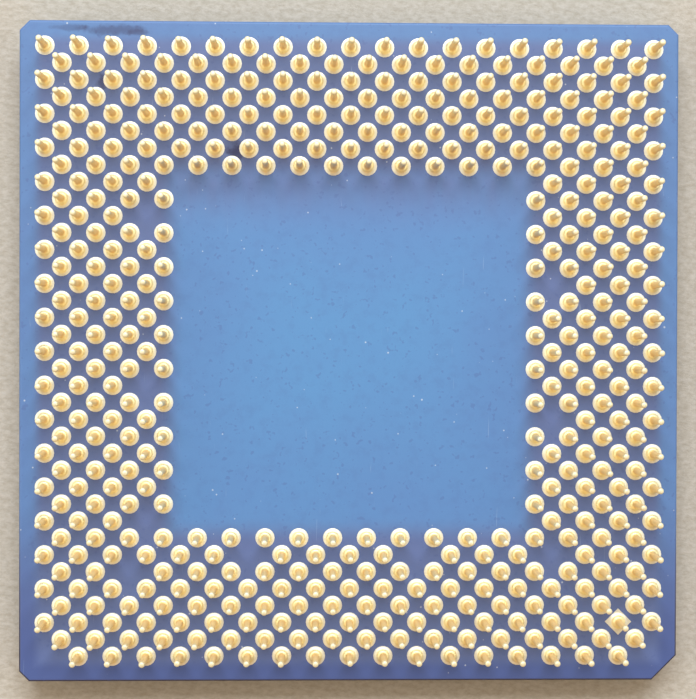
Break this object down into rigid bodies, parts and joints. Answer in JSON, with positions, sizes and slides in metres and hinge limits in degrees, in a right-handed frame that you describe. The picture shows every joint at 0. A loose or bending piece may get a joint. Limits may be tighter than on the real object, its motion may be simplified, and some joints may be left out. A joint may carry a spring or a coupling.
{
  "type": "pin-grid processor",
  "caption": "Square ceramic processor package with a staggered ring of gold pins round a bare centre, one cut corner, and a bare die with support pads on its other face.",
  "frame": {"origin": "middle of the square body, on the plane that the four support pads' faces lie in, so the part stands on its die side", "axes": "+Z out of the pin side, along the pins; +X towards pin row A and +Y towards pin column 37, so the cut pin-one corner is at +X, -Y"},
  "size_m": [0.0496, 0.0496, 0.0065],
  "materials": {
    "ceramic": "fired violet-blue alumina, satin",
    "inner_metal": "fired tungsten print, matte",
    "gold": "thin soft gold plating, bright",
    "braze": "gold over a smooth braze fillet",
    "silicon": "ground and polished silicon back, dark mirror",
    "solder": "reflowed solder, soft shine",
    "underfill": "cured epoxy, glossy",
    "capacitor_ceramic": "brown chip ceramic, satin",
    "tinned_metal": "tin plating, dull",
    "support_rubber": "soft foam rubber, matte"
  },
  "bodies": {
    "root": {"capacitor_bricks": "capacitor_ceramic", "capacitor_end_caps": "tinned_metal", "capacitor_lands": "gold", "capacitor_solder": "solder", "ceramic_die_side_sheet": "ceramic", "ceramic_lower_inner_sheet": "ceramic", "ceramic_pin_side_sheet": "ceramic", "ceramic_upper_inner_sheet": "ceramic", "ground_plane": "inner_metal", "index_pin_land": "gold", "pin_braze": "braze", "pin_lands": "gold", "pin_one_marker": "gold", "pin_row_a": "gold", "pin_row_aa": "gold", "pin_row_ab": "gold", "pin_row_ac": "gold", "pin_row_ad": "gold", "pin_row_ae": "gold", "pin_row_af": "gold", "pin_row_ag": "gold", "pin_row_ah": "gold", "pin_row_aj": "gold", "pin_row_ak": "gold", "pin_row_al": "gold", "pin_row_am": "gold", "pin_row_an": "gold", "pin_row_b": "gold", "pin_row_c": "gold", "pin_row_d": "gold", "pin_row_e": "gold", "pin_row_f": "gold", "pin_row_g": "gold", "pin_row_h": "gold", "pin_row_j": "gold", "pin_row_k": "gold", "pin_row_l": "gold", "pin_row_m": "gold", "pin_row_n": "gold", "pin_row_p": "gold", "pin_row_q": "gold", "pin_row_r": "gold", "pin_row_s": "gold", "pin_row_t": "gold", "pin_row_u": "gold", "pin_row_v": "gold", "pin_row_w": "gold", "pin_row_x": "gold", "pin_row_y": "gold", "pin_row_z": "gold", "power_plane": "inner_metal", "signal_plane": "inner_metal", "silicon_die": "silicon", "solder_bumps": "solder", "support_pad_back_left": "support_rubber", "support_pad_back_right": "support_rubber", "support_pad_front_left": "support_rubber", "support_pad_front_right": "support_rubber", "trim_links": "gold", "underfill": "underfill"}
  },
  "joints": []
}
